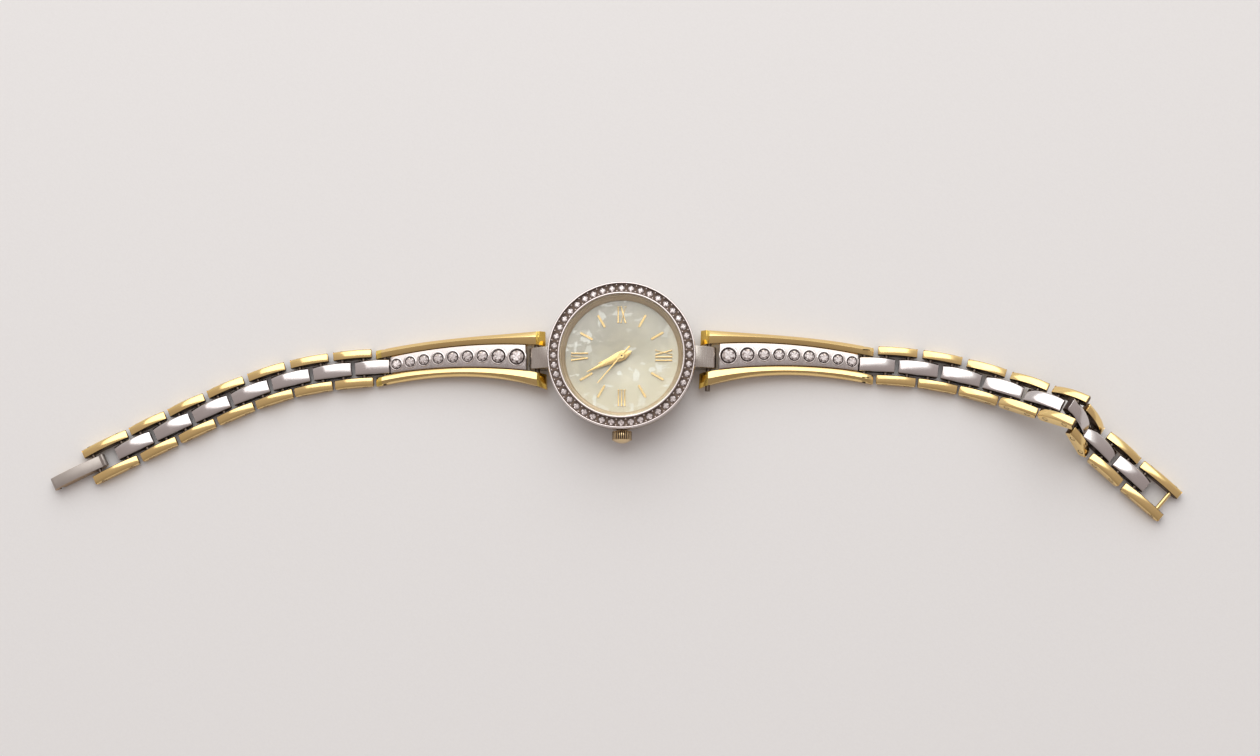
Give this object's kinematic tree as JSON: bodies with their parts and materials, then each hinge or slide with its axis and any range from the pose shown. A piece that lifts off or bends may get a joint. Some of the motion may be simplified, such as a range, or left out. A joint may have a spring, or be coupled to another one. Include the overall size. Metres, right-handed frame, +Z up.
{
  "type": "dress watch",
  "caption": "Ladies' two-tone dress watch with a stone-set bezel and end pieces, Roman dial and hinged link bracelet with open clasp, laid flat.",
  "frame": {"origin": "centre of the flat of the case back, on the surface the watch lies on", "axes": "+Z up through the dial, +X along the bracelet towards twelve o'clock, -Y towards the crown at three o'clock"},
  "size_m": [0.1838, 0.0386, 0.0092],
  "materials": {
    "steel_case": "brushed",
    "steel_link": "satin",
    "steel_polished": "polished",
    "gold": "polished gold plate",
    "rehaut": "satin gold plate",
    "pin": "turned",
    "stone": "cut and polished",
    "glass": "polished",
    "dial": "polished mother-of-pearl",
    "movement": "grained",
    "copper": "enamelled winding",
    "holder": "moulded",
    "gasket": "matt"
  },
  "bodies": {
    "case": {"case_body": "steel_case", "case_back": "steel_case", "back_gasket": "gasket", "bezel": "steel_polished", "bezel_stones": "stone", "crystal_glass": "glass", "rehaut_ring": "rehaut", "dial": "dial", "hour_markers": "gold", "movement_plate": "movement", "train_bridge": "steel_case", "battery_cell": "steel_polished", "drive_coil": "copper", "movement_holder": "holder", "stem_tube": "movement"},
    "setting_lever": {"setting_lever": "pin"},
    "crown": {"crown": "gold", "stem": "pin"},
    "hour_hand": {"hour_hand": "gold"},
    "minute_hand": {"minute_hand": "gold"},
    "seconds_hand": {"seconds_hand": "gold"},
    "end_piece_left": {"end_frame_left": "gold", "stone_plate_left": "steel_polished", "plate_stones_left": "stone", "lug_pin_left": "pin"},
    "centre_link_left_1": {"centre_link_left_1": "steel_link"},
    "outer_link_left_1": {"outer_link_left_1": "gold"},
    "centre_link_left_2": {"centre_link_left_2": "steel_link"},
    "outer_link_left_2": {"outer_link_left_2": "gold"},
    "centre_link_left_3": {"centre_link_left_3": "steel_link"},
    "outer_link_left_3": {"outer_link_left_3": "gold"},
    "centre_link_left_4": {"centre_link_left_4": "steel_link"},
    "outer_link_left_4": {"outer_link_left_4": "gold"},
    "centre_link_left_5": {"centre_link_left_5": "steel_link"},
    "outer_link_left_5": {"outer_link_left_5": "gold"},
    "centre_link_left_6": {"centre_link_left_6": "steel_link"},
    "outer_link_left_6": {"outer_link_left_6": "gold"},
    "centre_link_left_7": {"centre_link_left_7": "steel_link"},
    "outer_link_left_7": {"outer_link_left_7": "gold"},
    "clasp": {"clasp": "steel_link"},
    "end_piece_right": {"end_frame_right": "gold", "stone_plate_right": "steel_polished", "plate_stones_right": "stone", "lug_pin_right": "pin"},
    "centre_link_right_1": {"centre_link_right_1": "steel_link"},
    "outer_link_right_1": {"outer_link_right_1": "gold"},
    "centre_link_right_2": {"centre_link_right_2": "steel_link"},
    "outer_link_right_2": {"outer_link_right_2": "gold"},
    "centre_link_right_3": {"centre_link_right_3": "steel_link"},
    "outer_link_right_3": {"outer_link_right_3": "gold"},
    "centre_link_right_4": {"centre_link_right_4": "steel_link"},
    "outer_link_right_4": {"outer_link_right_4": "gold"},
    "centre_link_right_5": {"centre_link_right_5": "steel_link"},
    "outer_link_right_5": {"outer_link_right_5": "gold"},
    "centre_link_right_6": {"centre_link_right_6": "steel_link"},
    "outer_link_right_6": {"outer_link_right_6": "gold"},
    "centre_link_right_7": {"centre_link_right_7": "steel_link"},
    "outer_link_right_7": {"outer_link_right_7": "gold"},
    "centre_link_right_8": {"centre_link_right_8": "steel_link"},
    "outer_link_right_8": {"outer_link_right_8": "gold"}
  },
  "joints": [
    {"name": "crown_pull", "type": "slide", "parent": "case", "child": "setting_lever", "axis": [0, -1, 0], "range_m": [0, 0.001]},
    {"name": "crown_turn", "type": "hinge", "parent": "setting_lever", "child": "crown", "pos_m": [0, -0.0125, 0.0032], "axis": [0, -1, 0], "continuous": true},
    {"name": "seconds_turn", "type": "hinge", "parent": "case", "child": "seconds_hand", "pos_m": [0, 0, 0.0045], "axis": [0, 0, -1], "continuous": true},
    {"name": "minute_turn", "type": "hinge", "parent": "case", "child": "minute_hand", "pos_m": [0, 0, 0.0045], "axis": [0, 0, -1], "continuous": true},
    {"name": "hour_turn", "type": "hinge", "parent": "case", "child": "hour_hand", "pos_m": [0, 0, 0.0045], "axis": [0, 0, -1], "continuous": true},
    {"name": "lug_hinge_left", "type": "hinge", "parent": "case", "child": "end_piece_left", "pos_m": [-0.014, 0, 0.0022], "axis": [0.0384, -0.9993, 0], "range_deg": [-12, 50]},
    {"name": "centre_hinge_left_1", "type": "hinge", "parent": "end_piece_left", "child": "centre_link_left_1", "pos_m": [-0.03925, -0.00097, 0.001], "axis": [0.0384, -0.9993, 0], "range_deg": [-11, 19]},
    {"name": "outer_hinge_left_1", "type": "hinge", "parent": "centre_link_left_1", "child": "outer_link_left_1", "pos_m": [-0.04275, -0.00118, 0.001], "axis": [0.0872, -0.9962, 0], "range_deg": [-14, 16]},
    {"name": "centre_hinge_left_2", "type": "hinge", "parent": "outer_link_left_1", "child": "centre_link_left_2", "pos_m": [-0.04623, -0.00149, 0.001], "axis": [0.0872, -0.9962, 0], "range_deg": [-14, 16]},
    {"name": "outer_hinge_left_2", "type": "hinge", "parent": "centre_link_left_2", "child": "outer_link_left_2", "pos_m": [-0.0497, -0.00195, 0.001], "axis": [0.1822, -0.9833, 0], "range_deg": [-14, 16]},
    {"name": "centre_hinge_left_3", "type": "hinge", "parent": "outer_link_left_2", "child": "centre_link_left_3", "pos_m": [-0.05314, -0.00258, 0.001], "axis": [0.1822, -0.9833, 0], "range_deg": [-14, 16]},
    {"name": "outer_hinge_left_3", "type": "hinge", "parent": "centre_link_left_3", "child": "outer_link_left_3", "pos_m": [-0.05654, -0.00343, 0.001], "axis": [0.309, -0.9511, 0], "range_deg": [-14, 16]},
    {"name": "centre_hinge_left_4", "type": "hinge", "parent": "outer_link_left_3", "child": "centre_link_left_4", "pos_m": [-0.05987, -0.00451, 0.001], "axis": [0.309, -0.9511, 0], "range_deg": [-14, 16]},
    {"name": "outer_hinge_left_4", "type": "hinge", "parent": "centre_link_left_4", "child": "outer_link_left_4", "pos_m": [-0.06314, -0.00577, 0.001], "axis": [0.3907, -0.9205, 0], "range_deg": [-14, 16]},
    {"name": "centre_hinge_left_5", "type": "hinge", "parent": "outer_link_left_4", "child": "centre_link_left_5", "pos_m": [-0.06636, -0.00713, 0.001], "axis": [0.3907, -0.9205, 0], "range_deg": [-14, 16]},
    {"name": "outer_hinge_left_5", "type": "hinge", "parent": "centre_link_left_5", "child": "outer_link_left_5", "pos_m": [-0.06954, -0.00859, 0.001], "axis": [0.4226, -0.9063, 0], "range_deg": [-14, 16]},
    {"name": "centre_hinge_left_6", "type": "hinge", "parent": "outer_link_left_5", "child": "centre_link_left_6", "pos_m": [-0.07272, -0.01006, 0.001], "axis": [0.4226, -0.9063, 0], "range_deg": [-14, 16]},
    {"name": "outer_hinge_left_6", "type": "hinge", "parent": "centre_link_left_6", "child": "outer_link_left_6", "pos_m": [-0.07587, -0.01157, 0.001], "axis": [0.4384, -0.8988, 0], "range_deg": [-14, 16]},
    {"name": "centre_hinge_left_7", "type": "hinge", "parent": "outer_link_left_6", "child": "centre_link_left_7", "pos_m": [-0.07902, -0.01311, 0.001], "axis": [0.4384, -0.8988, 0], "range_deg": [-14, 16]},
    {"name": "outer_hinge_left_7", "type": "hinge", "parent": "centre_link_left_7", "child": "outer_link_left_7", "pos_m": [-0.08217, -0.01464, 0.001], "axis": [0.4384, -0.8988, 0], "range_deg": [-14, 16]},
    {"name": "clasp_hinge", "type": "hinge", "parent": "outer_link_left_7", "child": "clasp", "pos_m": [-0.08675, -0.01688, 0.001], "axis": [0.4384, -0.8988, 0], "range_deg": [-75, 15]},
    {"name": "lug_hinge_right", "type": "hinge", "parent": "case", "child": "end_piece_right", "pos_m": [0.014, 0, 0.0022], "axis": [0.0384, 0.9993, 0], "range_deg": [-12, 50]},
    {"name": "centre_hinge_right_1", "type": "hinge", "parent": "end_piece_right", "child": "centre_link_right_1", "pos_m": [0.03925, -0.00097, 0.001], "axis": [0.0384, 0.9993, 0], "range_deg": [-11, 19]},
    {"name": "outer_hinge_right_1", "type": "hinge", "parent": "centre_link_right_1", "child": "outer_link_right_1", "pos_m": [0.04275, -0.00118, 0.001], "axis": [0.0872, 0.9962, 0], "range_deg": [-14, 16]},
    {"name": "centre_hinge_right_2", "type": "hinge", "parent": "outer_link_right_1", "child": "centre_link_right_2", "pos_m": [0.04623, -0.00149, 0.001], "axis": [0.0872, 0.9962, 0], "range_deg": [-14, 16]},
    {"name": "outer_hinge_right_2", "type": "hinge", "parent": "centre_link_right_2", "child": "outer_link_right_2", "pos_m": [0.0497, -0.00195, 0.001], "axis": [0.1908, 0.9816, 0], "range_deg": [-14, 16]},
    {"name": "centre_hinge_right_3", "type": "hinge", "parent": "outer_link_right_2", "child": "centre_link_right_3", "pos_m": [0.05314, -0.00261, 0.001], "axis": [0.1908, 0.9816, 0], "range_deg": [-11, 19]},
    {"name": "outer_hinge_right_3", "type": "hinge", "parent": "centre_link_right_3", "child": "outer_link_right_3", "pos_m": [0.05652, -0.00349, 0.00118], "axis": [0.3102, 0.9475, -0.0777], "range_deg": [-9, 21]},
    {"name": "centre_hinge_right_4", "type": "hinge", "parent": "outer_link_right_3", "child": "centre_link_right_4", "pos_m": [0.05983, -0.00453, 0.00167], "axis": [0.3102, 0.9475, -0.0777], "range_deg": [-8, 18]},
    {"name": "outer_hinge_right_4", "type": "hinge", "parent": "centre_link_right_4", "child": "outer_link_right_4", "pos_m": [0.06302, -0.00569, 0.00252], "axis": [0.4261, 0.8883, -0.1712], "range_deg": [-8, 18]},
    {"name": "centre_hinge_right_5", "type": "hinge", "parent": "outer_link_right_4", "child": "centre_link_right_5", "pos_m": [0.06607, -0.00692, 0.00371], "axis": [0.4261, 0.8883, -0.1712], "range_deg": [-7, 18]},
    {"name": "outer_hinge_right_5", "type": "hinge", "parent": "centre_link_right_5", "child": "outer_link_right_5", "pos_m": [0.06894, -0.00814, 0.0053], "axis": [0.5318, 0.8155, -0.2285], "range_deg": [-7, 18]},
    {"name": "centre_hinge_right_6", "type": "hinge", "parent": "outer_link_right_5", "child": "centre_link_right_6", "pos_m": [0.07159, -0.00932, 0.00726], "axis": [0.5318, 0.8155, -0.2285], "range_deg": [-92, 3]},
    {"name": "outer_hinge_right_6", "type": "hinge", "parent": "centre_link_right_6", "child": "outer_link_right_6", "pos_m": [0.07332, -0.01132, 0.00496], "axis": [0.5699, 0.7962, -0.2031], "range_deg": [-18, 12]},
    {"name": "centre_hinge_right_7", "type": "hinge", "parent": "outer_link_right_6", "child": "centre_link_right_7", "pos_m": [0.07495, -0.01312, 0.00245], "axis": [0.5699, 0.7962, -0.2031], "range_deg": [-4, 50]},
    {"name": "outer_hinge_right_7", "type": "hinge", "parent": "centre_link_right_7", "child": "outer_link_right_7", "pos_m": [0.07749, -0.01541, 0.00172], "axis": [0.6541, 0.7419, -0.1474], "range_deg": [-6, 24]},
    {"name": "centre_hinge_right_8", "type": "hinge", "parent": "outer_link_right_7", "child": "centre_link_right_8", "pos_m": [0.08009, -0.01775, 0.00147], "axis": [0.6541, 0.7419, -0.1474], "range_deg": [-14, 16]},
    {"name": "outer_hinge_right_8", "type": "hinge", "parent": "centre_link_right_8", "child": "outer_link_right_8", "pos_m": [0.08268, -0.02009, 0.00123], "axis": [0.6557, 0.755, -0.0087], "range_deg": [-13, 17]}
  ],
  "couplings": [
    {"joint": "minute_turn", "follows": "seconds_turn", "ratio": 0.016667},
    {"joint": "hour_turn", "follows": "seconds_turn", "ratio": 0.0013889}
  ]
}
